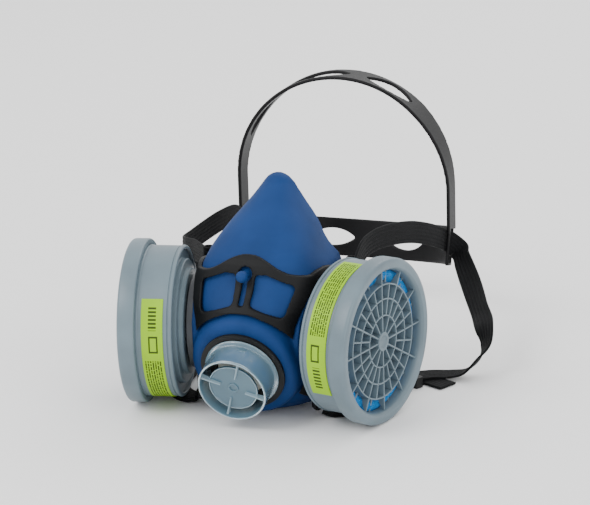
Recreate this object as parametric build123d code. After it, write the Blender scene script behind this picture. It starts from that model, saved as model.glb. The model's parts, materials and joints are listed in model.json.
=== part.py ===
from build123d import *
import os
from math import cos, hypot, radians, sin, sqrt

# Half-mask respirator: a soft facepiece in a moulded yoke, two screw-on filter cartridges,
# an exhalation valve under a guard, and a head harness of a moulded cradle and two straps.
# Millimetres. X runs across the mask, the front faces -Y, Z is up, and the floor is Z = 0.
# Depths in this file are measured from the line between the centres of the two covers, and
# save() moves every piece back by MIDDLE_DEPTH, so that the origin is the middle of the base.

# Driving dimensions
MIDDLE_DEPTH = 76.2
COVER_RADIUS = 45.0
AXIS_HEIGHT = COVER_RADIUS
COVER_SPACING = 146.9
TOE_ANGLE = 12.2
GRILLE_RINGS = (14.0, 23.0, 31.0)
GRILLE_FRONT = -2.5
GRILLE_BACK = -7.4
CARTRIDGE_RADIUS = 41.6
CARTRIDGE_WALL = 1.6
NECK_RADIUS = 29.0
PORT_RADIUS = 18.8
PORT_DEPTH = 40.0

VALVE_CENTRE = (0.0, -40.6, 24.5)
VALVE_TILT = 18.0
GUARD_RADIUS = 19.05
GUARD_LENGTH = 17.4
SEAT_RADIUS = 23.6
BOSS_RADIUS = 29.5

SKIN = 2.5
YOKE_THICKNESS = 2.6
YOKE_GAP = 0.15
PORT_HOLE_RADIUS = 28.8
PORT_RING_RADIUS = 35.8
ARCH_RADIUS = 32.0
KNOB_HEIGHT = 81.4
KNOB_RADIUS = 3.25

STRAP_WIDTH = 12.7
STRAP_THICKNESS = 1.4
RIBBON_STEPS = 3

# Strap bars of the yoke: (back, up) from the cartridge axis, at one depth along it. Each lug is
# its plate and its slot, as low back, low up, high back and high up.
BAR_DEPTH = -38.4
LUG_THICKNESS = 2.4
UPPER_BAR = (28.6, 28.0)
LOWER_BAR = (-5.0, -38.4)
STRAP_LUGS = [
    ((16.0, 18.8, 29.9, 37.2), (23.4, 20.8, 27.3, 35.2)),
    ((-14.2, -39.7, 4.2, -26.0), (-12.2, -37.1, 2.2, -33.2)),
]

CRADLE_RADIUS = 64.8
CRADLE_DEPTH = 140.0
CRADLE_CENTRE_HEIGHT = 89.5
CRADLE_CORNER_HEIGHT = 56.0
CRADLE_THICKNESS = 2.0
CROWN_WIDTH = 21.0
CROWN_SLOTS = [(63.5, 27, 14.0), (104, 36, 15.5), (144, 26, 9.5)]
LEG_WIDTH = 13.0
BAND_HEIGHT = 23.0
BAND_SLOT = (27.0, 10.5)
BAND_SLOT_ANGLE = 24.0
BAND_REACH = 57.5
BAND_TILT = 16.3

SIDES = {"right": 1, "left": -1}
BOTTOM = (Align.CENTER, Align.CENTER, Align.MIN)

os.makedirs("parts", exist_ok=True)


def save(shape, name):
    """Write one piece to its own file, moved so that the origin is the middle of the base."""
    placed = Pos(0, -MIDDLE_DEPTH, 0) * shape
    placed.label = name
    export_step(placed, f"parts/{name}.step")


def tube(outer, inner, low, high):
    """A ring or disc about the local Z axis, from low to high."""
    ring = Pos(0, 0, low) * Cylinder(outer, high - low, align=BOTTOM)
    if inner > 0:
        ring -= Pos(0, 0, low - 1) * Cylinder(inner, high - low + 2, align=BOTTOM)
    return ring


def spoke(inner, outer, width, low, high, angle):
    """A radial bar about the local Z axis."""
    bar = Pos((inner + outer) / 2, 0, low) * Box(outer - inner, width, high - low, align=BOTTOM)
    return Rot(0, 0, angle) * bar


def blade(outline, thickness, angle):
    """Thin radial rib whose outline is given as radius and height."""
    face = Plane.XZ * make_face(Polyline(*outline, close=True))
    return Rot(0, 0, angle) * extrude(face, thickness / 2, both=True)


def on_side(side, shape):
    """Place a piece drawn about a cartridge's axis: local Z points out, Z = 0 at the cover's face."""
    toe = radians(TOE_ANGLE)
    face = Plane(
        origin=(side * COVER_SPACING / 2, 0, AXIS_HEIGHT),
        x_dir=(sin(toe), side * cos(toe), 0),
        z_dir=(side * cos(toe), -sin(toe), 0),
    )
    return face.location * shape


def flip(side, shape):
    """Mirror a piece drawn for the right side when it goes on the left."""
    return shape if side > 0 else mirror(shape, Plane.YZ)


def on_valve(shape):
    """Place a piece drawn about the exhalation valve: local Z points out, Z = 0 at the guard's rim."""
    tilt = radians(VALVE_TILT)
    face = Plane(origin=VALVE_CENTRE, x_dir=(1, 0, 0), z_dir=(0, -cos(tilt), -sin(tilt)))
    return face.location * shape


# Facepiece form. Each level gives the height, the front depth, then the half outline as
# cheek (x, y), corner (x, y), side (x, y) and the half width at FORM_REAR.
FORM_REAR = 80.0
FORM_STEPS = 36
FORM = [
    (0.0, 2.0, 9.0, 4.0, 15.5, 9.5, 22.0, 22.0, 35.0),
    (3.0, -6.0, 12.0, -3.5, 20.0, 3.0, 27.5, 17.0, 40.0),
    (11.0, -16.0, 15.0, -12.5, 25.0, -4.0, 32.0, 11.0, 45.0),
    (25.0, -24.0, 18.0, -20.0, 28.5, -10.5, 33.8, 8.4, 49.0),
    (45.0, -27.0, 20.0, -22.5, 30.2, -11.5, 34.6, 8.4, 49.9),
    (61.0, -25.0, 20.0, -21.0, 30.4, -11.0, 35.0, 9.0, 49.5),
    (75.0, -15.2, 19.0, -12.5, 29.5, -4.5, 35.0, 13.0, 44.0),
    (87.0, -10.5, 16.5, -8.0, 25.5, -1.0, 29.6, 15.0, 35.0),
    (98.0, 1.5, 12.5, 3.5, 19.5, 9.5, 23.3, 24.0, 26.0),
    (112.0, 21.0, 7.0, 22.5, 11.0, 27.5, 12.8, 37.0, 14.0),
    (119.0, 31.0, 4.5, 32.2, 7.2, 36.0, 8.4, 44.0, 9.0),
]
NOSE_TIP = (0.0, 39.2, 114.3)
NOSE_TIP_RADIUS = 9.2


def level_at(height):
    """The form's outline values at any height, eased between the levels without overshoot."""
    index = max(i for i in range(len(FORM) - 1) if FORM[i][0] <= height)
    span = FORM[index + 1][0] - FORM[index][0]
    part = (height - FORM[index][0]) / span

    def slope(row, column):
        below = max(row, 1)
        above = min(row, len(FORM) - 2)
        first = (FORM[below][column] - FORM[below - 1][column]) / (FORM[below][0] - FORM[below - 1][0])
        second = (FORM[above + 1][column] - FORM[above][column]) / (FORM[above + 1][0] - FORM[above][0])
        return 2 * first * second / (first + second) if first * second > 0 else 0.0

    values = []
    for column in range(1, len(FORM[0])):
        start, end = FORM[index][column], FORM[index + 1][column]
        leave = slope(index, column) * span
        arrive = slope(index + 1, column) * span
        rise = (3 * part**2 - 2 * part**3) * (end - start)
        ease = (part**3 - 2 * part**2 + part) * leave + (part**3 - part**2) * arrive
        values.append(start + rise + ease)
    return values


def form_section(height, grow):
    """One horizontal face of the facepiece form, moved outwards by grow."""
    front, cheek_x, cheek_y, corner_x, corner_y, side_x, side_y, rear = level_at(height)
    half = [
        (cheek_x + 0.35 * grow, cheek_y - 0.95 * grow),
        (corner_x + 0.75 * grow, corner_y - 0.65 * grow),
        (side_x + 0.98 * grow, side_y - 0.2 * grow),
        (rear + grow, FORM_REAR),
    ]
    left = [(-x, y) for x, y in reversed(half)]
    outline = Spline(*left, (0, front - grow), *half)
    closing = Line(half[-1], left[0])
    return Pos(0, 0, height) * make_face(Curve() + outline + closing)


def form(grow, low=FORM[0][0], high=FORM[-1][0]):
    """The solid facepiece form between two heights, moved outwards by grow."""
    step = (high - low) / FORM_STEPS
    sections = [form_section(low + step * index, grow) for index in range(FORM_STEPS + 1)]
    return loft(sections, ruled=True)


def rim_cutter(shift):
    """Everything behind the edge that meets the face, moved back by shift."""
    edge = Spline((41, 128), (41, 120), (41.5, 100), (44.0, 75), (53.0, 45), (56.0, 22), (51.0, -4))
    walls = Polyline((51.0, -4), (120, -4), (120, 128), (41, 128))
    profile = make_face(Curve() + edge + walls)
    slab = extrude(Plane.YZ.offset(-80) * profile, 160)
    return Pos(0, shift, 0) * slab


def face_opening():
    """The opening that the nose, mouth and chin go through."""
    outline = FilletPolyline(
        (0, 106), (25, 68), (28, 38), (19, 13), (-19, 13), (-28, 38), (-25, 68), radius=8, close=True
    )
    return extrude(Plane.XZ.offset(-90) * make_face(outline), 120)


def make_facepiece():
    """Soft shell with an in-turned face seal, a valve boss, two port bosses and a yoke knob."""
    outer = form(0) + Pos(*NOSE_TIP) * Sphere(NOSE_TIP_RADIUS)
    boss = Pos(0, 0, -34) * Cone(BOSS_RADIUS + 2.5, BOSS_RADIUS, 34 - 18.9, align=BOTTOM)
    boss = fillet(boss.edges().sort_by(Axis.Z)[-1], 4.5)
    outer += on_valve(boss)
    for side in SIDES.values():
        outer += on_side(side, tube(28.2, 0, -PORT_DEPTH - 4.5, -PORT_DEPTH + 2))
    inner = form(-SKIN, SKIN, FORM[-1][0] - SKIN)
    behind = rim_cutter(0)
    lip = (form(0) & rim_cutter(-1.8)) - face_opening()
    shell = outer - inner - behind
    shell += lip - behind
    shell += on_valve(tube(22.5, 17.0, -26.9, -18.9))
    shell -= on_valve(tube(17.0, 0, -44, 0))
    shell -= on_valve(tube(SEAT_RADIUS + 0.3, 0, -18.8, 10))
    shell -= on_valve(tube(20.5, 0, -36, -26.9))
    for side in SIDES.values():
        shell += on_side(side, tube(25.0, PORT_RADIUS, -PORT_DEPTH - 4.5, -PORT_DEPTH))
        shell -= on_side(side, tube(PORT_RADIUS + 0.1, 0, -PORT_DEPTH - 12, -PORT_DEPTH + 12))
        shell -= on_side(side, tube(23.2, 0, -PORT_DEPTH - 12, -PORT_DEPTH - 4.5))
    knob = Pos(0, -20.2, KNOB_HEIGHT) * Sphere(KNOB_RADIUS)
    stem = Pos(0, -13.5, KNOB_HEIGHT) * Rot(90, 0, 0) * Cylinder(2.0, 9)
    shell += knob + stem
    return shell.solids().sort_by(SortBy.VOLUME)[-1]


def lug_block(low_back, low_up, high_back, high_up, radius, thickness):
    """A flat rounded block beside a port, centred on the depth of the strap bars."""
    face = RectangleRounded(high_back - low_back, high_up - low_up, radius)
    middle = Pos((low_back + high_back) / 2, (low_up + high_up) / 2, BAR_DEPTH - thickness / 2)
    return extrude(middle * face, thickness)


def make_yoke():
    """Moulded frame over the front, with windows, a keyhole, port rings and strap lugs."""
    skin = form(YOKE_GAP + YOKE_THICKNESS, 4.0, 96.0) - form(YOKE_GAP, 4.0, 96.0)
    top = Spline((-60, 78.6), (-30, 79.6), (-20.5, 82.2), (-9, 88.6), (0, 90.7),
                 (9, 88.6), (20.5, 82.2), (30, 79.6), (60, 78.6))
    sides = Polyline((60, 78.6), (60, 22), (-60, 22), (-60, 78.6))
    front = extrude(Plane.XZ.offset(-8) * make_face(Curve() + top + sides), 60)
    keep = front
    for side in SIDES.values():
        keep += on_side(side, tube(PORT_RING_RADIUS, 0, -PORT_DEPTH - 4, -PORT_DEPTH + 6))
    frame = skin & keep
    frame -= on_valve(tube(ARCH_RADIUS, 0, -40, 30))
    for side in SIDES.values():
        frame -= on_side(side, tube(PORT_HOLE_RADIUS, 0, -PORT_DEPTH - 14, -PORT_DEPTH + 20))
        window = FilletPolyline(
            (side * 5.4, 81.4), (side * 11.5, 81.4), (side * 26.8, 75.2), (side * 23.6, 60.0),
            (side * 4.8, 66.2), radius=2.6, close=True
        )
        frame -= extrude(Plane.XZ.offset(-8) * make_face(window), 60)
    keyhole = Pos(0, KNOB_HEIGHT) * Circle(KNOB_RADIUS + 0.6)
    keyhole += Pos(0, 73) * SlotOverall(14, 3.2, rotation=90)
    frame -= extrude(Plane.XZ.offset(-8) * keyhole, 60)
    for side in SIDES.values():
        port = on_side(side, tube(PORT_HOLE_RADIUS, 0, -60, 0))
        for plate, slot in STRAP_LUGS:
            frame += on_side(side, flip(side, lug_block(*plate, 1.6, LUG_THICKNESS))) - port
            frame -= on_side(side, flip(side, lug_block(*slot, 0.8, LUG_THICKNESS + 4)))
    return frame.solids().sort_by(SortBy.VOLUME)[-1]


def make_valve_seat():
    """Rigid ring in the facepiece boss, with the cross that holds the exhalation disc."""
    seat = tube(SEAT_RADIUS, 14.6, -18.7, -17.2)
    seat += tube(16.8, 14.6, -27.0, -18.0)
    seat += tube(20.0, 14.6, -28.4, -27.0)
    seat += tube(15.0, 12.6, -21.0, -19.2)
    seat += tube(2.4, 0, -21.0, -19.2)
    for angle in range(0, 360, 90):
        seat += spoke(1.5, 13.5, 1.6, -21.0, -19.4, angle)
    return on_valve(seat)


def make_valve_disc():
    """Thin flexible disc that lifts off the seat when the wearer breathes out."""
    return on_valve(tube(14.0, 0, -19.1, -18.4))


def make_guard():
    """Pull-off tubular guard with a baffle disc on four ribs."""
    guard = tube(GUARD_RADIUS, GUARD_RADIUS - 1.2, -GUARD_LENGTH + 0.4, 0)
    guard += tube(20.6, GUARD_RADIUS - 1.2, -GUARD_LENGTH + 0.4, -GUARD_LENGTH + 2.0)
    guard += tube(13.6, 0, -4.2, -3.0)
    guard += tube(13.6, 12.9, -3.4, -2.6)
    guard += tube(3.0, 1.8, -3.4, -2.2)
    for step in range(4):
        guard += spoke(7.0, GUARD_RADIUS - 0.6, 1.6, -4.0, -1.2, 72 + 90 * step)
    return on_valve(guard)


def make_cover():
    """Snap-on cover ring that holds the prefilter behind its recessed grille."""
    cover = tube(COVER_RADIUS, 38.4, -7.0, 0)
    cover += tube(COVER_RADIUS, CARTRIDGE_RADIUS + 0.3, -9.6, -6.5)
    rims = cover.edges().filter_by(GeomType.CIRCLE)
    cover = fillet([edge for edge in rims if edge.radius > COVER_RADIUS - 0.1], 1.0)
    cover -= Pos(0, 0, -2.0) * Cone(38.4, 40.4, 2.01, align=BOTTOM)
    cover += tube(5.6, 0, GRILLE_BACK, GRILLE_FRONT + 0.6)
    cover -= Pos(0, 0, GRILLE_FRONT) * Cone(1.8, 3.4, 2, align=BOTTOM)
    for radius in GRILLE_RINGS:
        cover += tube(radius + 0.65, radius - 0.65, GRILLE_BACK, GRILLE_FRONT)
    low, high, edge = GRILLE_BACK, GRILLE_FRONT, GRILLE_RINGS[-1]
    long_rib = [(5, low), (5, high), (39, high), (39, high - 0.8), (edge, low)]
    short_rib = [(14, low), (14, high), (edge, high), (edge, -5.2), (39, -6.0), (39, -7.0), (edge, low)]
    for angle in range(0, 360, 30):
        cover += blade(long_rib, 1.0, angle)
        cover += blade(short_rib, 1.0, angle + 15)
    return cover


def make_cartridge_body():
    """Moulded can with its outlet neck."""
    outer = CARTRIDGE_RADIUS
    body = tube(outer, outer - CARTRIDGE_WALL, -29.4, -7.6)
    body += tube(outer, PORT_RADIUS + 0.5, -27.4, -25.8)
    body += tube(NECK_RADIUS, PORT_RADIUS + 0.5, -33.4, -27.0)
    rims = body.edges().filter_by(GeomType.CIRCLE)
    lip = [edge for edge in rims if edge.radius > outer - 0.1 and edge.center().Z < -29]
    return fillet(lip, 1.2)


def make_screen():
    """Perforated disc that keeps the sorbent off the outlet."""
    screen = tube(39.8, 0, -25.7, -24.7)
    holes = [
        Pos(radius * cos(radians(angle)), radius * sin(radians(angle)), -26) * Cylinder(1.5, 3, align=BOTTOM)
        for radius, count in ((6, 6), (12, 12))
        for angle in range(0, 360, 360 // count)
    ]
    return screen - holes


def make_label(start, sweep):
    """Plain band stuck round part of the can, from start degrees round by sweep degrees."""
    band = tube(CARTRIDGE_RADIUS + 0.3, CARTRIDGE_RADIUS + 0.02, -24.6, -12.8)
    reach = 2 * CARTRIDGE_RADIUS
    arc = CenterArc((0, 0), reach, start, sweep)
    wedge = make_face(Curve() + Line((0, 0), arc @ 0) + arc + Line(arc @ 1, (0, 0)))
    return band & extrude(Pos(0, 0, -30) * wedge, 30)


def make_connector():
    """Rigid port sleeve clamped through the facepiece wall, with the inhalation valve's cross."""
    sleeve = tube(PORT_RADIUS, 16.2, -45.2, -31.2)
    sleeve += tube(22.5, 16.2, -46.6, -44.6)
    sleeve += tube(17.0, 14.2, -45.4, -44.2)
    sleeve += tube(2.2, 0, -45.4, -44.2)
    for angle in range(0, 360, 60):
        sleeve += spoke(1.5, 15.5, 1.4, -45.4, -44.2, angle)
    return sleeve


def make_connector_nut():
    """Outer clamp ring of the port sleeve, seated on the port boss."""
    return tube(25.5, PORT_RADIUS + 0.05, -37.95, -34.6)


def make_gasket():
    """Soft ring between the port sleeve and the outlet of the cartridge."""
    return tube(PORT_RADIUS, 16.4, -31.1, -29.6)


def make_inhalation_disc():
    """Thin flexible disc on the inner side of the port, which lifts when the wearer breathes in."""
    return tube(15.6, 0, -46.2, -45.6)


# Harness. Stations give a point on the strap's inner face and the direction of its width.
STRAP_UPPER = {
    "right": [
        ((44.4, 36.2, 73.0), (0, 0, 1)),
        ((44.2, 46.5, 78.6), (0, -0.35, 1)),
        ((44.8, 56.5, 80.6), (0, -0.1, 1)),
        ((47.0, 69.0, 80.9), (0, 0, 1)),
        ((51.2, 86.2, 79.1), (0, 0.1, 1)),
        ((55.4, 104.2, 75.2), (0, 0.15, 1)),
        ((59.6, 121.5, 69.3), (0, 0.25, 1)),
        ((62.0, 135.5, 63.4), (0, 0.35, 1)),
        ((62.3, 142.8, 60.0), (0, 0.3, 1)),
    ],
    "left": [
        ((44.4, 36.2, 73.0), (0, 0, 1)),
        ((56.0, 50.0, 71.8), (0, 0, 1)),
        ((66.5, 60.5, 69.2), (0, 0.1, 1)),
        ((71.5, 70.5, 67.4), (0, 0.1, 1)),
        ((71.2, 82.0, 67.6), (0, 0.1, 1)),
        ((68.2, 96.0, 69.9), (0, 0.1, 1)),
        ((64.3, 110.0, 72.2), (0, 0.1, 1)),
        ((62.3, 125.0, 71.4), (0, 0.2, 1)),
        ((62.3, 135.5, 66.4), (0, 0.35, 1)),
        ((62.3, 142.8, 60.4), (0, 0.3, 1)),
    ],
}
STRAP_LOWER = [
    ((64.9, 147.0, 57.3), (0, 0.28, 1)),
    ((69.0, 149.6, 52.2), (0.1, 0.3, 0.95)),
    ((72.9, 144.2, 46.9), (0.5, 0.3, 0.8)),
    ((82.4, 128.2, 39.0), (0.85, 0.1, 0.5)),
    ((93.7, 106.2, 30.9), (0.8, -0.35, 0.45)),
    ((101.1, 90.2, 26.9), (0.6, -0.6, 0.5)),
    ((103.6, 84.2, 18.9), (0.2, -0.9, 0.35)),
    ((100.6, 80.2, 11.7), (0, -0.97, 0.25)),
    ((93.5, 77.2, 4.4), (0, -1, 0.05)),
    ((84.6, 75.2, 2.5), (0.05, -1, 0)),
    ((75.0, 71.4, 2.7), (0.35, -0.93, 0)),
    ((68.0, 65.0, 3.1), (0.78, -0.62, 0)),
]
STRAP_DOUBLE = [
    ((67.2, 64.2, 3.3), (0.84, -0.54, 0)),
    ((63.2, 56.0, 3.3), (0.9, -0.44, 0)),
    ((60.0, 41.0, 2.7), (0.97, -0.22, 0)),
    ((58.6, 26.0, 2.0), (0.96, -0.28, 0)),
    ((54.6, 14.6, 1.65), (0.83, -0.56, 0)),
    ((48.2, 7.0, 1.65), (0.6, -0.8, 0)),
    ((41.8, 3.4, 2.0), (0.1, -0.99, 0)),
    ((36.6, 2.8, 3.9), (-0.21, -0.98, 0)),
]
STRAP_TAIL = [
    ((65.6, 61.4, 1.6), (0.86, -0.5, 0)),
    ((69.4, 66.0, 1.1), (0.5, -0.86, 0)),
    ((76.1, 66.4, 0.95), (-0.2, -0.98, 0)),
    ((83.0, 63.2, 0.95), (-0.38, -0.92, 0)),
    ((88.4, 60.6, 0.95), (-0.4, -0.92, 0)),
]


def between(values, position):
    """Smooth (Catmull-Rom) value at a fractional position along a list of vectors."""
    index = min(int(position), len(values) - 2)
    part = position - index
    start, end = Vector(*values[index]), Vector(*values[index + 1])
    before = Vector(*values[index - 1]) if index > 0 else start * 2 - end
    after = Vector(*values[index + 2]) if index + 2 < len(values) else end * 2 - start
    leave, arrive = (end - before) * 0.5, (after - start) * 0.5
    rise = start + (end - start) * (3 * part**2 - 2 * part**3)
    return rise + leave * (part**3 - 2 * part**2 + part) + arrive * (part**3 - part**2)


def ribbon(stations, thickness):
    """A band of webbing whose middle runs through the stations, twisting with their leans."""
    points = [point for point, _ in stations]
    leans = [tuple(Vector(*lean).normalized()) for _, lean in stations]
    count = RIBBON_STEPS * (len(stations) - 1)
    sections = []
    for step in range(count + 1):
        position = step / RIBBON_STEPS
        ahead = between(points, min(position + 0.05, len(points) - 1))
        behind = between(points, max(position - 0.05, 0))
        along = (ahead - behind).normalized()
        lean = between(leans, position)
        across = (lean - along * lean.dot(along)).normalized()
        face = Plane(origin=between(points, position), x_dir=across, z_dir=along)
        sections.append(face * Rectangle(STRAP_WIDTH, thickness))
    return loft(sections, ruled=True)


def make_bar_loop(turn_axis, back, up):
    """The sewn turn of a strap round the bar of a yoke lug."""
    turn = Cylinder(3.2, STRAP_WIDTH) - Cylinder(1.8, STRAP_WIDTH + 2)
    return on_side(1, Pos(back, up, BAR_DEPTH) * turn_axis * turn)


def make_strap(name, side):
    """Elastic strap from the upper lug, through the cradle, to the lower lug and its free tail."""
    strap = ribbon(STRAP_UPPER[name] + STRAP_LOWER, STRAP_THICKNESS)
    strap += ribbon(STRAP_DOUBLE, 2 * STRAP_THICKNESS)
    strap += ribbon(STRAP_TAIL, STRAP_THICKNESS)
    strap += make_bar_loop(Rot(90, 0, 0), *UPPER_BAR)
    strap += make_bar_loop(Rot(0, 90, 0), *LOWER_BAR)
    return Compound([flip(side, solid) for solid in strap.solids()])


def make_strap_slide(side):
    """Adjuster sleeve where the strap returns on itself and its free tail comes out."""
    sleeve = Box(STRAP_WIDTH + 7.0, 5.6, 6.0, align=BOTTOM)
    sleeve -= Pos(0, 0, 0.6) * Box(STRAP_WIDTH + 3.0, 12.0, 4.5, align=BOTTOM)
    outside = sleeve.edges().filter_by(Axis.Z)
    sleeve = fillet([edge for edge in outside if abs(edge.center().X) > STRAP_WIDTH / 2 + 2], 1.5)
    placed = Pos(65.2, 60.2, 0.05) * Rot(0, 0, -29) * sleeve
    return flip(side, placed)


def lens(length, width):
    """A slot outline with two pointed ends, along local X."""
    upper = ThreePointArc((-length / 2, 0), (0, width / 2), (length / 2, 0))
    lower = ThreePointArc((length / 2, 0), (0, -width / 2), (-length / 2, 0))
    return make_face(Curve() + upper + lower)


def crown_slot(middle, sweep, width):
    """Cutter for one long slot in the crown, middle degrees up from the right."""
    length = CRADLE_RADIUS * radians(sweep)
    outline = Plane.YZ.offset(CRADLE_RADIUS / 2) * Rot(0, 0, 90) * lens(length, width)
    return Pos(0, 0, CRADLE_CENTRE_HEIGHT) * Rot(0, -middle, 0) * extrude(outline, CRADLE_RADIUS)


def make_cradle():
    """One-piece moulded head cradle: a crown arch, two corners with strap slots and a rear band."""
    middle = CRADLE_DEPTH + 8.0
    outer, inner = CRADLE_RADIUS + CRADLE_THICKNESS / 2, CRADLE_RADIUS - CRADLE_THICKNESS / 2
    ring = Circle(outer) - Circle(inner) - Pos(0, -outer) * Rectangle(3 * outer, 2 * outer)
    crown = extrude(Plane.XZ.offset(CROWN_WIDTH / 2) * ring, -CROWN_WIDTH)
    crown = Pos(0, 0, CRADLE_CENTRE_HEIGHT) * crown
    for slot in CROWN_SLOTS:
        crown -= crown_slot(*slot)
    leg, wide = LEG_WIDTH / 2, CROWN_WIDTH / 2
    front = [(-leg, 60), (-leg, 94), (-wide, 136), (-wide, 170)]
    rear = [(-back, height) for back, height in reversed(front)]
    taper = Plane.YZ.offset(-80) * make_face(Polyline(*front, *rear, close=True))
    crown &= extrude(taper, 160)
    crown = Pos(0, middle, 0) * crown
    leg_foot = CRADLE_CORNER_HEIGHT + 8
    cradle = crown
    for side in SIDES.values():
        leg = Box(CRADLE_THICKNESS, LEG_WIDTH, CRADLE_CENTRE_HEIGHT - leg_foot, align=BOTTOM)
        cradle += Pos(side * CRADLE_RADIUS, middle, leg_foot) * leg
    reach, across = BAND_REACH, CRADLE_RADIUS
    outline = Ellipse(across + 1, reach + 1) - Ellipse(across - 1, reach - 1)
    outline -= Pos(0, -reach) * Rectangle(3 * across, 2 * reach)
    band = extrude(Pos(0, 0, -BAND_HEIGHT / 2) * outline, BAND_HEIGHT)
    for side in SIDES.values():
        cutter = extrude(Plane.YZ.offset(20) * lens(*BAND_SLOT), 60)
        band -= Rot(0, 0, 90 - side * BAND_SLOT_ANGLE) * cutter
    corner = Pos(0, CRADLE_DEPTH, CRADLE_CORNER_HEIGHT + 1.5) * Rot(-BAND_TILT, 0, 0)
    cradle += corner * band
    for side in SIDES.values():
        cradle -= corner * Pos(side * across, 7.6, 0) * Box(13.6, 11.6, 20.2)
    return cradle


for label, side in SIDES.items():
    save(on_side(side, make_cover()), f"{label}_cover_ring")
    save(on_side(side, tube(39.7, 0, -11.6, -7.7)), f"{label}_prefilter_pad")
    save(on_side(side, tube(39.7, 0, -24.5, -11.8)), f"{label}_sorbent_bed")
    save(on_side(side, make_screen()), f"{label}_outlet_screen")
    save(on_side(side, make_cartridge_body()), f"{label}_cartridge_body")
    save(on_side(side, make_connector()), f"{label}_inlet_connector")
    save(on_side(side, make_connector_nut()), f"{label}_connector_nut")
    save(on_side(side, make_gasket()), f"{label}_connector_gasket")
    save(on_side(side, make_inhalation_disc()), f"{label}_inhalation_valve_disc")
    save(make_strap(label, side), f"{label}_strap")
    save(make_strap_slide(side), f"{label}_strap_slide")
save(on_side(1, make_label(92, 118)), "right_label")
save(on_side(-1, make_label(-85, 119)), "left_label")
save(make_cradle(), "head_cradle")
save(make_valve_seat(), "exhalation_valve_seat")
save(make_valve_disc(), "exhalation_valve_disc")
save(make_guard(), "exhalation_valve_guard")
save(make_facepiece(), "facepiece")
save(make_yoke(), "yoke")
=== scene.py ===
"""Half-mask respirator: the look of each piece, built round the CAD frame.

Metres, in the frame's own axes: X runs across the mask, the front faces -Y and Z is up.
Sizes that belong to one cartridge or to the valve are in millimetres along their own axes.
"""

import json
from math import cos, pi, radians, sin

import bmesh
import bpy
import numpy as np
from mathutils import Matrix, Vector


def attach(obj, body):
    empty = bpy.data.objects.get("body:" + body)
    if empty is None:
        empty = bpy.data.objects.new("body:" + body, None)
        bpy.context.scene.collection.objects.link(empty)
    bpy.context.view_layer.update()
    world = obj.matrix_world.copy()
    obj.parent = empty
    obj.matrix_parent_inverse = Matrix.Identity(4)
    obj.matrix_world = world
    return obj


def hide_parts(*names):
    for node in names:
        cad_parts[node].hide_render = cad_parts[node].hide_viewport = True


MM = 0.001
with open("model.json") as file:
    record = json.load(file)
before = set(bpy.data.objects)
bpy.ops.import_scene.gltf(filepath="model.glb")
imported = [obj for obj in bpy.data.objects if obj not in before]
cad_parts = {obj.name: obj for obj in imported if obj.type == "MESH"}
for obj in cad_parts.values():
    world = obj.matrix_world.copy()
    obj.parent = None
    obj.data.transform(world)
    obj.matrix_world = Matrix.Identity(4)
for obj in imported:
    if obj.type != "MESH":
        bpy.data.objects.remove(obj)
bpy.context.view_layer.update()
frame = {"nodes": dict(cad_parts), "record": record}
joints = {joint["name"]: joint for joint in frame["record"]["behaviour"]["joints"]}
SIDES = {"right": 1, "left": -1}

# Camera: the mask from its front right, a little above, with its place in metres and its lens
# and sensor in millimetres
AZIMUTH = radians(20.68)
ELEVATION = radians(16.53)
ROLL = radians(-1.76)
CAMERA_PLACE = (0.4557, -1.2229, 0.4545)
LENS = 146.9
SENSOR = 36.0
CLIP_END = 20.0

# Sizes about each cartridge's axis and the valve's, in millimetres. Height 0 is the front of the
# cover or of the guard's rim, and heights behind it are negative. A profile that reaches the axis
# stops AXIS_GAP short of it.
COVER_RADIUS = 45.0
CAN_RADIUS = 41.6
RIB_COUNT = 24
GRILLE_RINGS = (14.0, 23.0, 31.0)
GRILLE_FRONT = -2.4
GRILLE_BACK = -7.4
RIB_HALF_WIDTH = 0.64
GUARD_RADIUS = 19.05
GUARD_RIBS = 4
LUG_HEIGHT = -12.4
LABEL_BAND = (-24.6, -12.8)
AXIS_GAP = 0.01

# The middle of the guard's rim, in metres
GUARD_CENTRE = Vector((0, -0.1168, 0.0245))

# Degrees round an axis: where each label starts and how far it sweeps, the first rib and the lug
LABELS = {"right": (92, 118), "left": (-85, 119)}
GUARD_RIB_TURN = 72
LUG_TURN = 76

# The webbing, in millimetres: its size, its number of cords, and the spacing of its sections along
# a run and round a bar
STRAP_WIDTH = 12.7
STRAP_THICKNESS = 1.4
STRAP_RIBS = 6
RUN_PITCH = 1.5
LOOP_PITCH = 1.0


# ---------------------------------------------------------------- materials


def linear(red, green, blue):
    """A colour given as 0 to 255 screen values, as the shader's linear values."""
    def one(value):
        """The same for a single channel."""
        value /= 255
        return value / 12.92 if value <= 0.04045 else ((value + 0.055) / 1.055) ** 2.4
    return (one(red), one(green), one(blue), 1.0)


def tint(colour, factor, lift=0.0):
    """A lighter or darker shade of a linear colour."""
    return tuple(min(1.0, part * factor + lift) for part in colour[:3]) + (1.0,)


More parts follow.
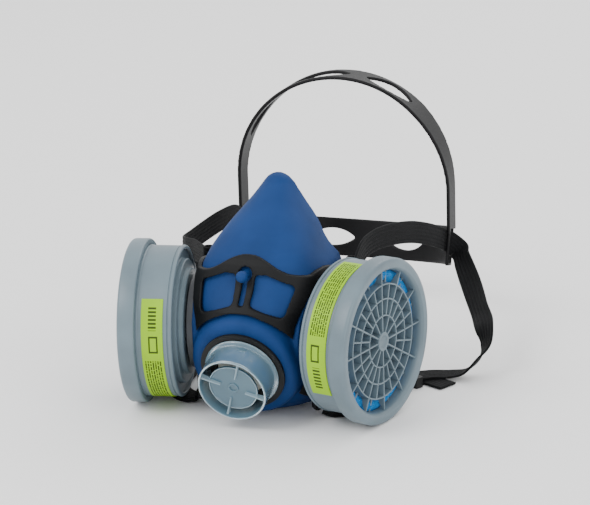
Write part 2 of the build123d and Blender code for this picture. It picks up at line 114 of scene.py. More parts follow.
class Shader:
    """A node material with a few short helpers for building its pattern."""

    def __init__(self, name, roughness, **sockets):
        self.material = bpy.data.materials.new(name)
        self.material.use_nodes = True
        self.nodes = self.material.node_tree.nodes
        self.links = self.material.node_tree.links
        self.surface = self.nodes["Principled BSDF"]
        self.surface.inputs["Roughness"].default_value = roughness
        for socket, value in sockets.items():
            self.surface.inputs[socket.replace("_", " ")].default_value = value
        self.place = self.nodes.new("ShaderNodeTexCoord")

    def add(self, kind, values=None, **settings):
        """A new node with its settings, and its inputs set or linked by name or number."""
        node = self.nodes.new(kind)
        for key, value in settings.items():
            setattr(node, key, value)
        for key, value in (values or {}).items():
            if isinstance(value, bpy.types.NodeSocket):
                self.links.new(value, node.inputs[key])
            else:
                node.inputs[key].default_value = value
        return node

    def math(self, operation, first, second=0.0):
        """One math node's result."""
        return self.add("ShaderNodeMath", {0: first, 1: second}, operation=operation).outputs[0]

    def noise(self, scale, detail=4.0, source=None, stretch=None):
        """Noise with a scale in lumps per metre, or per UV unit if source is a UV socket."""
        vector = source or self.place.outputs["Object"]
        if stretch:
            vector = self.add("ShaderNodeMapping", {"Vector": vector, "Scale": stretch}).outputs[0]
        return self.add("ShaderNodeTexNoise", {"Vector": vector, "Scale": scale, "Detail": detail}).outputs[0]

    def mix(self, factor, first, second):
        """A blend of two colours."""
        values = {"Factor": factor, 6: first, 7: second}
        return self.add("ShaderNodeMix", values, data_type="RGBA").outputs[2]

    def ramp(self, value, low, high, start, end):
        """A value read between low and high, given out between start and end."""
        values = {0: value, 1: low, 2: high, 3: start, 4: end}
        return self.add("ShaderNodeMapRange", values).outputs[0]

    def colour(self, socket):
        """Colours the surface from a socket."""
        self.links.new(socket, self.surface.inputs["Base Color"])

    def roughness(self, socket):
        """Sets how rough the surface is from a socket."""
        self.links.new(socket, self.surface.inputs["Roughness"])

    def bump(self, height, strength, distance):
        """Surface relief from a height socket, on top of any relief already there."""
        values = {"Height": height, "Strength": strength, "Distance": distance}
        old = self.surface.inputs["Normal"].links
        if old:
            values["Normal"] = old[0].from_socket
        node = self.add("ShaderNodeBump", values)
        self.links.new(node.outputs[0], self.surface.inputs["Normal"])


def moulded(name, colour, roughness, grain, relief, edge, **sockets):
    """A moulded plastic or rubber: fine grain, faint clouding, and a painted highlight that lightens its
    sharp convex edges by up to the share given by edge.
    """
    shader = Shader(name, roughness, **sockets)
    clouds = shader.noise(38, 5.0)
    clouding = shader.ramp(clouds, 0.3, 0.7, 0.0, 1.0)
    base = shader.mix(clouding, tint(colour, 0.84), tint(colour, 1.12, 0.004))
    # Painted highlight: the colour is lightened on sharp convex edges, where light catches them
    edge_highlight = shader.ramp(shader.add("ShaderNodeNewGeometry").outputs["Pointiness"], 0.52, 0.62, 0.0, edge)
    shader.colour(shader.mix(edge_highlight, base, tint(colour, 1.6, 0.03)))
    fine = shader.noise(grain, 3.0)
    shader.roughness(shader.ramp(fine, 0.3, 0.7, roughness - 0.05, roughness + 0.07))
    shader.bump(fine, relief, 0.00012)
    shader.bump(clouds, 0.12, 0.0004)
    return shader.material


def webbing(name, colour):
    """Ribbed elastic webbing: rows of small stitches along each rib, and lint in the hollows."""
    shader = Shader(name, 0.72, IOR=1.22, Sheen_Weight=0.04, Sheen_Roughness=0.4)
    split = shader.add("ShaderNodeSeparateXYZ", {0: shader.place.outputs["UV"]})
    along, across = split.outputs[0], split.outputs[1]
    picks = shader.math("SINE", shader.math("MULTIPLY", along, 2 * pi * 1100))
    ends = shader.math("SINE", shader.math("MULTIPLY", across, 2 * pi * 2200))
    weave = shader.math("MULTIPLY", picks, ends)
    fuzz = shader.noise(900, 4.0)
    tone = shader.math("ADD", shader.math("MULTIPLY", weave, 0.22), fuzz)
    tone = shader.ramp(tone, 0.25, 0.95, 0.0, 1.0)
    shader.colour(shader.mix(tone, tint(colour, 0.6), tint(colour, 1.9, 0.004)))
    shader.bump(weave, 0.35, 0.00018)
    shader.bump(fuzz, 0.2, 0.0002)
    return shader.material


def fibre_pad(name, colour):
    """A bonded mat of blue fibres with darker hollows."""
    shader = Shader(name, 0.85, IOR=1.3)
    mat = shader.noise(1500, 6.0, stretch=(1.0, 0.35, 1.6))
    lumps = shader.noise(260, 3.0)
    tone = shader.math("ADD", shader.math("MULTIPLY", mat, 0.7), shader.math("MULTIPLY", lumps, 0.3))
    tone = shader.ramp(tone, 0.32, 0.62, 0.0, 1.0)
    shader.colour(shader.mix(tone, tint(colour, 0.6), tint(colour, 1.25, 0.02)))
    shader.bump(mat, 0.7, 0.0005)
    return shader.material


def granules(name):
    """Packed charcoal granules."""
    shader = Shader(name, 0.6)
    cells = shader.add("ShaderNodeTexVoronoi", {"Vector": shader.place.outputs["Object"], "Scale": 800.0})
    tone = shader.ramp(cells.outputs["Distance"], 0.0, 0.8, 0.0, 1.0)
    shader.colour(shader.mix(tone, (0.09, 0.09, 0.095, 1), (0.008, 0.008, 0.009, 1)))
    shader.bump(cells.outputs["Distance"], 0.9, 0.0008)
    return shader.material


def translucent(name, colour):
    """Thin translucent plastic: milky inside, glossy, with faint flow marks."""
    shader = Shader(
        name, 0.2, Transmission_Weight=0.42, IOR=1.46, Coat_Weight=0.35,
        Subsurface_Weight=0.2, Subsurface_Radius=(0.002, 0.003, 0.004),
    )
    flow = shader.noise(26, 2.0, stretch=(1.0, 0.3, 1.0))
    shader.colour(shader.mix(shader.ramp(flow, 0.35, 0.65, 0.0, 0.5), colour, tint(colour, 1.25, 0.03)))
    haze = shader.noise(420, 3.0)
    shader.roughness(shader.ramp(haze, 0.3, 0.7, 0.14, 0.26))
    shader.bump(haze, 0.04, 0.0001)
    return shader.material


def printed_label(name):
    """Lime print: plain dark bars, a box and a row of blocks. U runs along the band, V across it."""
    shader = Shader(name, 0.46, IOR=1.3)
    split = shader.add("ShaderNodeSeparateXYZ", {0: shader.place.outputs["UV"]})
    along, across = split.outputs[0], split.outputs[1]

    def inside(value, low, high):
        """One where a value lies between low and high, and nothing elsewhere."""
        above = shader.math("GREATER_THAN", value, low)
        return shader.math("MULTIPLY", above, shader.math("LESS_THAN", value, high))

    def area(left, right, bottom, top):
        """One inside an upright rectangle, and nothing outside it."""
        return shader.math("MULTIPLY", inside(along, left, right), inside(across, bottom, top))

    rows = shader.math("MULTIPLY", across, 9.0)
    line = inside(shader.math("FRACT", rows), 0.24, 0.80)
    cell = {0: shader.math("MULTIPLY", along, 90.0), 1: shader.math("FLOOR", rows)}
    flat = shader.add("ShaderNodeCombineXYZ", cell)
    words = shader.noise(1.0, 1.0, source=flat.outputs[0])
    strokes = shader.math("MULTIPLY", line, shader.math("GREATER_THAN", words, 0.44))
    small = shader.math("MULTIPLY", strokes, area(0.03, 0.60, 0.10, 0.90))
    frame_box = shader.math("SUBTRACT", area(0.655, 0.765, 0.24, 0.66), area(0.667, 0.753, 0.31, 0.59))
    row = area(0.80, 0.955, 0.30, 0.66)
    gaps = inside(shader.math("FRACT", shader.math("MULTIPLY", along, 42.0)), 0.2, 0.75)
    blocks = shader.math("MULTIPLY", row, gaps)
    ink = shader.math("MAXIMUM", small, shader.math("MAXIMUM", frame_box, blocks))
    paper = shader.mix(shader.noise(90, 3.0), linear(132, 178, 0), linear(146, 192, 0))
    shader.colour(shader.mix(shader.math("MULTIPLY", ink, 0.92), paper, linear(24, 36, 8)))
    shader.roughness(shader.ramp(ink, 0.0, 1.0, 0.42, 0.6))
    shader.bump(shader.noise(500, 2.0), 0.05, 0.0002)
    return shader.material


# Moulded materials: colour, roughness, grain scale, grain relief and the strength of the painted edge
# highlight, then any fixed shader values
GREY = moulded("cartridge_plastic", linear(92, 109, 118), 0.40, 1400, 0.10, 0.25)
BLACK = moulded("yoke_plastic", linear(8, 9, 11), 0.54, 2600, 0.22, 0.14, IOR=1.26)
CRADLE = moulded("cradle_plastic", linear(5, 5, 7), 0.44, 1800, 0.14, 0.14, IOR=1.26)
SEAT = moulded("seat_plastic", linear(8, 9, 10), 0.44, 2200, 0.12, 0.14, IOR=1.32)
FITTING = moulded("fitting_plastic", linear(44, 48, 54), 0.40, 1800, 0.12, 0.25)
BLUE = moulded("facepiece_rubber", linear(0, 46, 98), 0.66, 3200, 0.20, 0.05, IOR=1.3)
SOFT = moulded("valve_silicone", linear(206, 202, 190), 0.42, 1500, 0.08, 0.1)
SCREEN = moulded("screen_plastic", linear(180, 186, 190), 0.45, 1500, 0.10, 0.2)
GASKET = moulded("gasket_rubber", linear(24, 25, 27), 0.62, 2400, 0.20, 0.1)
WEBBING = webbing("strap_webbing", linear(6, 7, 9))
PAD = fibre_pad("pad_fibre", linear(0, 104, 168))
GRANULES = granules("sorbent_granules")
GUARD = translucent("guard_plastic", linear(94, 126, 143))
GUARD_RIM = translucent("guard_rim_plastic", linear(150, 176, 188))
LABEL = printed_label("label_print")


# ---------------------------------------------------------------- meshes and placing


def add_object(name, data):
    """A new object holding a mesh, camera or light, linked into the scene."""
    item = bpy.data.objects.new(name, data)
    bpy.context.scene.collection.objects.link(item)
    return item


def axes(place, across, up, out):
    """A placement from its origin and its three axes."""
    return Matrix.Translation(place) @ Matrix((across, up, out)).transposed().to_4x4()


def finish_piece(name, mesh, material, body, replaced=(), angle=32):
    """An object from a mesh, shaded smooth but for its creases, on its body."""
    mesh.materials.clear()
    mesh.materials.append(material)
    for polygon in mesh.polygons:
        polygon.use_smooth = True
    mesh.set_sharp_from_angle(angle=radians(angle))
    piece = add_object(name, mesh)
    if replaced:
        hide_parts(*replaced)
    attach(piece, body)
    return piece


def soften(piece, width, segments=2, angle=30):
    """Rounds the edges sharper than an angle, by a width in millimetres."""
    bevel = piece.modifiers.new("edges", "BEVEL")
    bevel.width = width * MM
    bevel.segments = segments
    bevel.limit_method = "ANGLE"
    bevel.angle_limit = radians(angle)
    bevel.harden_normals = False


def from_bmesh(name, work, place):
    """A mesh from a bmesh drawn in millimetres about a local axis, put in its place."""
    work.transform(place @ Matrix.Scale(MM, 4))
    if place.determinant() < 0:
        bmesh.ops.reverse_faces(work, faces=work.faces)
    mesh = bpy.data.meshes.new(name)
    work.to_mesh(mesh)
    work.free()
    return mesh


def add_lathe(work, profile, steps=160):
    """A closed profile of (radius, height) turned about local Z."""
    rings = []
    for step in range(steps):
        angle = 2 * pi * step / steps
        rings.append([
            work.verts.new((radius * cos(angle), radius * sin(angle), height))
            for radius, height in profile
        ])
    for step in range(steps):
        here, there = rings[step], rings[(step + 1) % steps]
        for index in range(len(profile)):
            after = (index + 1) % len(profile)
            work.faces.new((here[index], there[index], there[after], here[after]))


def add_prism(work, outline, low, high, turn=0.0, shrink=1.0):
    """A flat outline raised from low to high, narrowed across local Y at its top by shrink."""
    spin = Matrix.Rotation(turn, 4, "Z")
    count = len(outline)
    bottom = [work.verts.new(spin @ Vector((x, y, low))) for x, y in outline]
    top = [work.verts.new(spin @ Vector((x, y * shrink, high))) for x, y in outline]
    work.faces.new(list(reversed(bottom)))
    work.faces.new(top)
    for index in range(count):
        after = (index + 1) % count
        work.faces.new((bottom[index], bottom[after], top[after], top[index]))


def add_blade(work, outline, half, turn):
    """Thin upright rib from an outline of (radius, height). Its half-width is 1.2 times half at
    the back and 0.7 times half at the front.
    """
    low = min(height for _, height in outline)
    high = max(height for _, height in outline)
    spin = Matrix.Rotation(turn, 4, "Z")
    sheets = []
    for sign in (-1, 1):
        sheet = []
        for radius, height in outline:
            width = half * (1.2 - 0.5 * (height - low) / (high - low))
            sheet.append(work.verts.new(spin @ Vector((radius, sign * width, height))))
        sheets.append(sheet)
    work.faces.new(sheets[0])
    work.faces.new(reversed(sheets[1]))
    count = len(outline)
    for index in range(count):
        after = (index + 1) % count
        work.faces.new((sheets[0][after], sheets[0][index], sheets[1][index], sheets[1][after]))


def side_place(side):
    """Local axes of a cartridge: Z out along its axis, Y up, from the middle of the cover's face."""
    joint = joints[f"{side}_cartridge_twist"]
    out = Vector(joint["axis"]).normalized()
    up = Vector((0, 0, 1))
    return axes(joint["pos_m"], up.cross(out), up, out)


def valve_place():
    """Local axes of the exhalation valve: Z out along its axis, X across, from the guard's rim."""
    out = Vector(joints["guard_pull"]["axis"]).normalized()
    across = Vector((1, 0, 0))
    return axes(GUARD_CENTRE, across, out.cross(across), out)


def relax(mesh, rounds, shrink=0.55, swell=-0.57):
    """Smooths a dense mesh without shrinking it, by taking turns to shrink and swell."""
    count = len(mesh.vertices)
    points = np.empty(count * 3)
    mesh.vertices.foreach_get("co", points)
    points = points.reshape(count, 3)
    edges = np.empty(len(mesh.edges) * 2, dtype=np.int64)
    mesh.edges.foreach_get("vertices", edges)
    first, second = edges[0::2], edges[1::2]
    near = np.maximum(np.bincount(first, minlength=count) + np.bincount(second, minlength=count), 1)
    for turn in range(2 * rounds):
        pull = shrink if turn % 2 == 0 else swell
        total = np.stack([
            np.bincount(first, points[second, axis], count) + np.bincount(second, points[first, axis], count)
            for axis in range(3)
        ], axis=1)
        points = points + pull * (total / near[:, None] - points)
    mesh.vertices.foreach_set("co", points.ravel())
    mesh.update()


def moulding(name, node, material, body, voxel, rounds):
    """A smooth-skinned piece from a CAD node's shape, remeshed in voxels of a size in millimetres
    and then relaxed.
    """
    source = add_object(name + "_source", frame["nodes"][node].data.copy())
    remesh = source.modifiers.new("skin", "REMESH")
    remesh.mode = "VOXEL"
    remesh.voxel_size = voxel * MM
    remesh.adaptivity = 0.0
    graph = bpy.context.evaluated_depsgraph_get()
    mesh = bpy.data.meshes.new_from_object(source.evaluated_get(graph))
    mesh.name = name
    bpy.data.objects.remove(source)
    relax(mesh, rounds)
    finish_piece(name, mesh, material, body, (node,), angle=180)


# ---------------------------------------------------------------- cartridges


def make_cover(side):
    """Cover ring with a chamfered mouth and its recessed grille of rings and tapering ribs."""
    work = bmesh.new()
    edge = COVER_RADIUS
    add_lathe(work, [
        (41.9, -9.6), (44.4, -9.6), (44.9, -9.1), (edge, -8.6), (edge, -1.9), (44.8, -1.1), (44.3, -0.5),
        (43.5, -0.1), (42.6, 0), (40.2, 0), (39.7, -0.25), (39.0, -1.3), (38.7, -1.8), (38.4, -4.0),
        (38.4, -6.9), (38.6, -7.0), (41.9, -7.0),
    ])
    for radius in GRILLE_RINGS:
        add_lathe(work, [
            (radius - 0.65, GRILLE_BACK), (radius + 0.65, GRILLE_BACK),
            (radius + 0.4, GRILLE_FRONT), (radius - 0.4, GRILLE_FRONT),
        ], 96)
    add_lathe(work, [
        (AXIS_GAP, GRILLE_BACK), (5.7, GRILLE_BACK), (5.3, -2.2), (4.9, -1.9), (3.6, -1.9), (3.2, -2.3),
        (2.6, -2.7), (AXIS_GAP, -2.9),
    ], 64)
    hub = 5.0
    inner = 13.9
    outer = GRILLE_RINGS[-1]
    wall = 38.9
    long_rib = [
        (hub, GRILLE_BACK), (hub, GRILLE_FRONT), (wall, GRILLE_FRONT), (wall, -3.2), (outer, GRILLE_BACK),
    ]
    short_rib = [
        (inner, GRILLE_BACK), (inner, GRILLE_FRONT), (outer, GRILLE_FRONT), (outer, -5.2), (wall, -6.0),
        (wall, -6.9), (outer, GRILLE_BACK),
    ]
    for step in range(RIB_COUNT):
        rib = short_rib if step % 2 else long_rib
        add_blade(work, rib, RIB_HALF_WIDTH, 2 * pi * step / RIB_COUNT)
    mesh = from_bmesh(f"{side}_cover", work, side_place(side))
    piece = finish_piece(f"{side}_cover", mesh, GREY, f"{side}_cover", (f"{side}_cover_ring",))
    soften(piece, 0.14)


def make_pad(side):
    """The fibre pad, pressed flat by the grille and bulging forward in the outer ring of cells."""
    work = bmesh.new()
    add_lathe(work, [
        (AXIS_GAP, -7.5), (29.5, -7.5), (31.4, -7.0), (32.6, -6.1), (34.2, -5.6), (36.2, -5.6), (37.6, -6.1),
        (38.3, -7.0), (39.2, -7.7), (39.6, -8.0), (39.6, -11.2), (39.2, -11.6), (AXIS_GAP, -11.6),
    ], 120)
    mesh = from_bmesh(f"{side}_pad", work, side_place(side))
    finish_piece(f"{side}_pad", mesh, PAD, f"{side}_cartridge", (f"{side}_prefilter_pad",), 50)


def make_can(side):
    """The can: a drafted wall with a bead at each end, and the stepped outlet neck."""
    work = bmesh.new()
    wall = CAN_RADIUS
    add_lathe(work, [
        (40.0, -7.6), (wall, -7.6), (wall, -10.4), (wall - 0.25, -10.8), (wall - 0.35, -26.6),
        (wall - 0.7, -26.9), (wall - 0.7, -27.3), (wall, -27.6), (wall, -28.5), (wall - 0.3, -29.1),
        (wall - 0.9, -29.4), (39.7, -29.4), (39.4, -29.1), (39.3, -27.8), (34.6, -27.4), (34.2, -27.7),
        (34.1, -30.1), (33.6, -30.6), (29.5, -30.7), (29.1, -31.0), (29.0, -32.9), (28.5, -33.4),
        (19.8, -33.4), (19.3, -33.0), (19.3, -25.8), (40.0, -25.8),
    ])
    mesh = from_bmesh(f"{side}_can", work, side_place(side))
    replaced = (f"{side}_cartridge_body",)
    finish_piece(f"{side}_can", mesh, GREY, f"{side}_cartridge", replaced, 24)


def make_label(side):
    """Thin printed band round part of the can, with turned-in edges, U along it and V across it."""
    start, sweep = LABELS[side]
    low, high = LABEL_BAND
    steps = 72
    work = bmesh.new()
    layer = work.loops.layers.uv.new("UVMap")
    outer, inner = CAN_RADIUS + 0.12, CAN_RADIUS - 0.33
    columns = []
    for step in range(steps + 1):
        angle = radians(start + sweep * step / steps)
        ray = Vector((cos(angle), sin(angle), 0))
        columns.append([
            work.verts.new(ray * radius + Vector((0, 0, height)))
            for radius, height in ((inner, low), (outer, low + 0.15), (outer, high - 0.15), (inner, high))
        ])
    for step in range(steps):
        here, there = columns[step], columns[step + 1]
        for index in range(3):
            face = work.faces.new((here[index], there[index], there[index + 1], here[index + 1]))
            ends = (step, step + 1, step + 1, step)
            rows = (index, index, index + 1, index + 1)
            for loop, end, row in zip(face.loops, ends, rows):
                loop[layer].uv = (end / steps, (0, 0.02, 0.98, 1)[row])
    mesh = from_bmesh(f"{side}_band", work, side_place(side))
    finish_piece(f"{side}_band", mesh, LABEL, f"{side}_cartridge", (f"{side}_label",))


# ---------------------------------------------------------------- exhalation guard


def make_guard():
    """Translucent guard: a flared tube with rolled rims, and a baffle disc with a ring in its middle."""
    work = bmesh.new()
    edge = GUARD_RADIUS
    add_lathe(work, [
        (edge - 1.15, -0.5), (edge - 0.95, -0.1), (edge - 0.55, 0), (edge - 0.15, -0.15), (edge, -0.6),
        (edge, -1.4), (edge - 0.12, -1.7), (edge + 0.2, -14.6), (edge + 1.3, -15.3), (edge + 1.55, -15.7),
        (edge + 1.55, -16.7), (edge + 1.3, -17.0), (edge - 1.0, -17.0), (edge - 1.15, -16.6),
    ], 128)
    add_lathe(work, [
        (AXIS_GAP, -4.2), (13.3, -4.2), (13.6, -3.9), (13.6, -2.9), (13.4, -2.6), (13.0, -2.6),
        (12.8, -2.9), (12.7, -3.1), (AXIS_GAP, -3.0),
    ], 96)
    add_lathe(work, [(1.7, -3.3), (3.1, -3.3), (3.0, -2.5), (2.7, -2.2), (2.1, -2.2), (1.8, -2.5)], 48)
    mesh = from_bmesh("guard", work, valve_place())
    piece = finish_piece("guard", mesh, GUARD, "guard", ("exhalation_valve_guard",))
    soften(piece, 0.12)


def make_guard_ribs():
    """Paler ribs from the baffle disc out to the tube, and paler lines on the three rims."""
    work = bmesh.new()
    edge = GUARD_RADIUS
    rib = [(7.0, -0.5), (edge - 0.7, -0.95), (edge - 0.7, 0.95), (7.0, 0.5)]
    for step in range(GUARD_RIBS):
        turn = radians(GUARD_RIB_TURN + 360 / GUARD_RIBS * step)
        add_prism(work, rib, -4.1, -1.4, turn, 0.6)
    front = [(edge - 1.0, -0.3), (edge - 0.75, 0.05), (edge - 0.35, 0.05), (edge - 0.1, -0.3)]
    back = [(edge + 1.3, -15.5), (edge + 1.62, -15.8), (edge + 1.62, -16.6), (edge + 1.3, -16.9)]
    baffle = [(13.1, -2.8), (13.25, -2.5), (13.5, -2.5), (13.65, -2.8)]
    add_lathe(work, front, 128)
    add_lathe(work, back, 128)
    add_lathe(work, baffle, 96)
    mesh = from_bmesh("guard_ribs", work, valve_place())
    soften(finish_piece("guard_ribs", mesh, GUARD_RIM, "guard"), 0.1)


def make_guard_lug():
    """Small block standing out from the side of the tube."""
    work = bmesh.new()
    outline = [(-2.0, -1.5), (2.0, -1.5), (2.0, 1.5), (-2.0, 1.5)]
    add_prism(work, outline, 0, 0.55)
    seat = Matrix.Translation((GUARD_RADIUS - 0.15, 0, LUG_HEIGHT))
    along = Matrix.Rotation(radians(LUG_TURN), 4, "Z") @ seat
    stand = along @ Matrix.Rotation(radians(90), 4, "Y") @ Matrix.Rotation(radians(90), 4, "Z")
    place = valve_place() @ Matrix.Scale(MM, 4) @ stand @ Matrix.Scale(1 / MM, 4)
    mesh = from_bmesh("guard_lug", work, place)
    soften(finish_piece("guard_lug", mesh, GUARD, "guard"), 0.25, 3)


# ---------------------------------------------------------------- straps

# Stations along each strap: a point in the middle of the webbing and the direction across it, in
# millimetres. All are drawn on the right and mirrored for the left, where only the upper run takes
# its own way. Y is measured back from COVER_DEPTH, the Y of the middle of each cover's face.
COVER_DEPTH = -76.2
STRAP_UPPER = {
    "right": [
        ((44.4, 36.2, 73.0), (0, 0, 1)),
        ((44.2, 46.5, 78.6), (0, -0.35, 1)),
        ((44.8, 56.5, 80.6), (0, -0.1, 1)),
        ((47.0, 69.0, 80.9), (0, 0, 1)),
        ((51.2, 86.2, 79.1), (0, 0.1, 1)),
        ((55.4, 104.2, 75.2), (0, 0.15, 1)),
        ((59.6, 121.5, 69.3), (0, 0.25, 1)),
        ((62.0, 135.5, 63.4), (0, 0.35, 1)),
        ((62.3, 142.8, 60.0), (0, 0.3, 1)),
    ],
    "left": [
        ((44.4, 36.2, 73.0), (0, 0, 1)),
        ((56.0, 50.0, 71.8), (0, 0, 1)),
        ((66.5, 60.5, 69.2), (0, 0.1, 1)),
        ((71.5, 70.5, 67.4), (0, 0.1, 1)),
        ((71.2, 82.0, 67.6), (0, 0.1, 1)),
        ((68.2, 96.0, 69.9), (0, 0.1, 1)),
        ((64.3, 110.0, 72.2), (0, 0.1, 1)),
        ((62.3, 125.0, 71.4), (0, 0.2, 1)),
        ((62.3, 135.5, 66.4), (0, 0.35, 1)),
        ((62.3, 142.8, 60.4), (0, 0.3, 1)),
    ],
}
STRAP_LOWER = [
    ((64.9, 147.0, 57.3), (0, 0.28, 1)),
    ((69.0, 149.6, 52.2), (0.1, 0.3, 0.95)),
    ((72.9, 144.2, 46.9), (0.5, 0.3, 0.8)),
    ((82.4, 128.2, 39.0), (0.85, 0.1, 0.5)),
    ((93.7, 106.2, 30.9), (0.8, -0.35, 0.45)),
    ((101.1, 90.2, 26.9), (0.85, -0.35, 0.35)),
    ((103.6, 84.2, 18.9), (0.6, -0.75, 0.2)),
    ((100.6, 80.2, 11.7), (0.1, -0.97, 0.2)),
    ((93.5, 77.2, 4.4), (0, -1, 0.05)),
    ((84.6, 75.2, 2.5), (0.05, -1, 0)),
    ((75.0, 71.4, 2.7), (0.35, -0.93, 0)),
    ((68.0, 65.0, 3.1), (0.78, -0.62, 0)),
]
STRAP_DOUBLE = [
    ((67.2, 64.2, 3.3), (0.84, -0.54, 0)),
    ((63.2, 56.0, 3.3), (0.9, -0.44, 0)),
    ((60.0, 41.0, 2.7), (0.97, -0.22, 0)),
    ((58.6, 26.0, 2.0), (0.96, -0.28, 0)),
    ((54.6, 14.6, 1.65), (0.83, -0.56, 0)),
    ((48.2, 7.0, 1.65), (0.6, -0.8, 0)),
    ((41.8, 3.4, 2.0), (0.1, -0.99, 0)),
    ((36.6, 2.8, 3.9), (-0.21, -0.98, 0)),
]
STRAP_TAIL = [
    ((65.6, 61.4, 1.6), (0.86, -0.5, 0)),
    ((69.4, 66.0, 1.1), (0.5, -0.86, 0)),
    ((76.1, 66.4, 0.95), (-0.2, -0.98, 0)),
    ((83.0, 63.2, 0.95), (-0.38, -0.92, 0)),
    ((88.4, 60.6, 0.95), (-0.4, -0.92, 0)),
]

# Strap bars of the yoke as (back, up) from a cartridge's axis, at one depth along it, and the
# radius of the webbing's turn round them
UPPER_BAR = (28.6, 28.0)
LOWER_BAR = (-5.0, -38.4)
BAR_DEPTH = -38.4
LOOP_RADIUS = 2.5


def between(values, position):
    """Smooth (Catmull-Rom) value at a fractional position along a list of vectors."""
    index = min(int(position), len(values) - 2)
    part = position - index
    start, end = values[index], values[index + 1]
    before = values[index - 1] if index > 0 else start * 2 - end
    after = values[index + 2] if index + 2 < len(values) else end * 2 - start
    leave, arrive = (end - before) * 0.5, (after - start) * 0.5
    rise = start + (end - start) * (3 * part**2 - 2 * part**3)
    return rise + leave * (part**3 - 2 * part**2 + part) + arrive * (part**3 - part**2)


def section():
    """The webbing's cross-section as (across, out) points: rounded cords side by side."""
    half = STRAP_WIDTH / 2
    count = 8 * STRAP_RIBS
    face = []
    for step in range(count + 1):
        across = -half + STRAP_WIDTH * step / count
        cord = abs(sin(pi * STRAP_RIBS * step / count)) ** 0.7
        edge = min(1.0, (half - abs(across)) / 0.5 + 0.45)
        face.append((across, edge * STRAP_THICKNESS * (0.33 + 0.17 * cord)))
    return face + [(across, -out) for across, out in reversed(face)]


def add_webbing(work, stations, shift=0.0, closed=False, pitch=RUN_PITCH):
    """Sweeps the webbing's section along the stations, twisting with their leans. Shift moves it
    off the line, out of its flat face, and a closed turn has no end faces.
    """
    points = [Vector(point) for point, _ in stations]
    leans = [Vector(lean).normalized() for _, lean in stations]
    length = sum((b - a).length for a, b in zip(points, points[1:]))
    count = max(6, int(length / pitch))
    layer = work.loops.layers.uv.verify()
    rings, travel, last = [], [0.0], None
    shape = section()
    reach = 0.05
    for step in range(count + 1):
        position = (len(points) - 1) * step / count
        place = between(points, position)
        ahead = between(points, min(position + reach, len(points) - 1))
        behind = between(points, max(position - reach, 0))
        along = (ahead - behind).normalized()
        lean = between(leans, position)
        across = (lean - along * lean.dot(along)).normalized()
        out = along.cross(across)
        place = place + out * shift
        if last is not None:
            travel.append(travel[-1] + (place - last).length)
        last = place
        rings.append([work.verts.new(place + across * x + out * y) for x, y in shape])
    size = len(shape)
    for step in range(count):
        here, there = rings[step], rings[step + 1]
        for index in range(size):
            after = (index + 1) % size
            face = work.faces.new((here[index], there[index], there[after], here[after]))
            ends = (step, step + 1, step + 1, step)
            rows = (index, index, after, after)
            for loop, end, row in zip(face.loops, ends, rows):
                loop[layer].uv = (travel[end] * MM, shape[row][0] * MM)
    if not closed:
        work.faces.new(list(reversed(rings[0])))
        work.faces.new(rings[-1])


def bar_loop(place, back, up, level):
    """Stations of the turn of webbing round a strap bar, drawn in the cartridge's axes."""
    bar = Vector((back, up, BAR_DEPTH))
    axis = Vector((1, 0, 0)) if level else Vector((0, 1, 0))
    spoke = Vector((0, 0, 1))
    steps = 16
    stations = []
    for step in range(steps + 1):
        turned = Matrix.Rotation(2 * pi * step / steps, 3, axis) @ spoke
        point = place @ ((bar + turned * LOOP_RADIUS) * MM) / MM
        stations.append((point - Vector((0, COVER_DEPTH, 0)), place.to_3x3() @ axis))
    return stations


def make_strap(side):
    """One strap: upper and lower run, the doubled end, the free tail and a turn round each bar."""
    work = bmesh.new()
    right = side_place("right")
    add_webbing(work, STRAP_UPPER[side] + STRAP_LOWER)
    for layer in (1, -1):
        add_webbing(work, STRAP_DOUBLE, shift=layer * STRAP_THICKNESS / 2)
    add_webbing(work, STRAP_TAIL)
    add_webbing(work, bar_loop(right, *UPPER_BAR, False), closed=True, pitch=LOOP_PITCH)
    add_webbing(work, bar_loop(right, *LOWER_BAR, True), closed=True, pitch=LOOP_PITCH)
    # Joins the end of each closed turn to its start
    bmesh.ops.remove_doubles(work, verts=work.verts, dist=0.0005)
    mirror = Matrix.Diagonal((SIDES[side], 1, 1, 1))
    mesh = from_bmesh(f"{side}_webbing", work, mirror @ Matrix.Translation((0, COVER_DEPTH * MM, 0)))
    finish_piece(f"{side}_webbing", mesh, WEBBING, "mask", (f"{side}_strap",), 60)


# ---------------------------------------------------------------- the pieces

moulding("facepiece_skin", "facepiece", BLUE, "mask", voxel=0.9, rounds=16)
moulding("yoke_frame", "yoke", BLACK, "mask", voxel=0.55, rounds=5)
moulding("cradle_frame", "head_cradle", CRADLE, "cradle", voxel=0.6, rounds=5)
make_guard()
make_guard_ribs()
make_guard_lug()
for side in SIDES:
    make_cover(side)
    make_pad(side)
    make_can(side)
    make_label(side)
    make_strap(side)

# Nodes that keep their CAD shape: the material of each and the width of its rounded edges
CARRIED = {
    "exhalation_valve_seat": (SEAT, 0.3),
    "exhalation_valve_disc": (SOFT, 0.15),
}
for side in SIDES:
    CARRIED[f"{side}_sorbent_bed"] = (GRANULES, 0.4)
    CARRIED[f"{side}_outlet_screen"] = (SCREEN, 0.15)
    CARRIED[f"{side}_inlet_connector"] = (FITTING, 0.25)
    CARRIED[f"{side}_connector_nut"] = (FITTING, 0.4)
    CARRIED[f"{side}_connector_gasket"] = (GASKET, 0.3)
    CARRIED[f"{side}_inhalation_valve_disc"] = (SOFT, 0.12)
    CARRIED[f"{side}_strap_slide"] = (SEAT, 0.35)
for node, (material, width) in CARRIED.items():
    carried = frame["nodes"][node]
    carried.data.materials.clear()
    carried.data.materials.append(material)
    soften(carried, width, 2, 35)


# ---------------------------------------------------------------- camera, light and floor


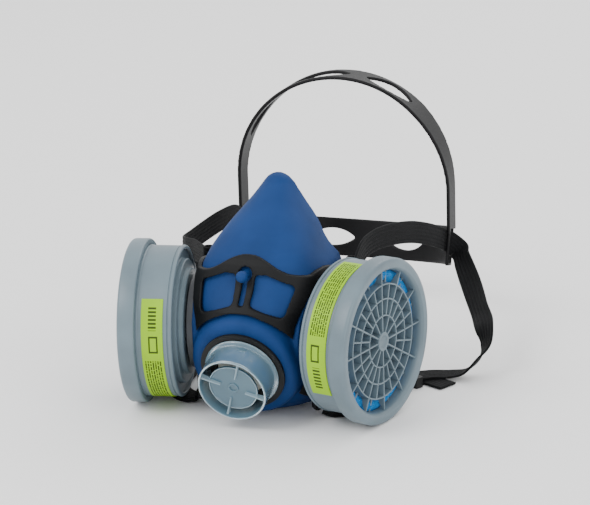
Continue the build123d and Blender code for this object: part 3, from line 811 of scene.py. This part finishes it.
def make_camera():
    """The camera, looking back along its own Z axis."""
    away = Vector((sin(AZIMUTH) * cos(ELEVATION), -cos(AZIMUTH) * cos(ELEVATION), sin(ELEVATION)))
    level = Vector((cos(AZIMUTH), sin(AZIMUTH), 0))
    rise = away.cross(level)
    across = cos(ROLL) * level + sin(ROLL) * rise
    up = cos(ROLL) * rise - sin(ROLL) * level
    data = bpy.data.cameras.new("camera")
    data.lens = LENS
    data.sensor_width = SENSOR
    data.clip_end = CLIP_END
    camera = add_object("camera", data)
    camera.matrix_world = axes(CAMERA_PLACE, across, up, away)
    bpy.context.scene.camera = camera


def make_light(name, place, target, size, power):
    """A soft white square light, in metres and watts, aimed at a point."""
    data = bpy.data.lights.new(name, "AREA")
    data.shape = "SQUARE"
    data.size = size
    data.energy = power
    light = add_object(name, data)
    aim = (Vector(target) - Vector(place)).to_track_quat("-Z", "Y")
    light.matrix_world = Matrix.Translation(place) @ aim.to_matrix().to_4x4()


def make_floor():
    """A plain pale floor, flat and wide, a hair below the mask so that the two don't flicker."""
    shader = Shader("floor", 0.9)
    shader.surface.inputs["Base Color"].default_value = (0.9, 0.9, 0.9, 1)
    work = bmesh.new()
    bmesh.ops.create_grid(work, x_segments=2, y_segments=2, size=6.0)
    mesh = bpy.data.meshes.new("floor")
    work.to_mesh(mesh)
    work.free()
    mesh.materials.append(shader.material)
    floor = add_object("floor", mesh)
    floor.location = (0, 0, -0.0002)


def make_world():
    """Even white light from all round."""
    world = bpy.data.worlds.new("studio")
    world.use_nodes = True
    sky = world.node_tree.nodes["Background"]
    sky.inputs["Color"].default_value = (1, 1, 1, 1)
    sky.inputs["Strength"].default_value = 1.45
    bpy.context.scene.world = world


make_camera()
make_world()
make_floor()
MIDDLE = (0, 0, 0.06)
make_light("key", (-0.9, -1.3, 1.5), MIDDLE, size=0.9, power=22)
make_light("fill", (1.4, -0.9, 0.8), MIDDLE, size=1.0, power=9)
make_light("back", (0.2, 1.4, 1.3), MIDDLE, size=1.0, power=9)
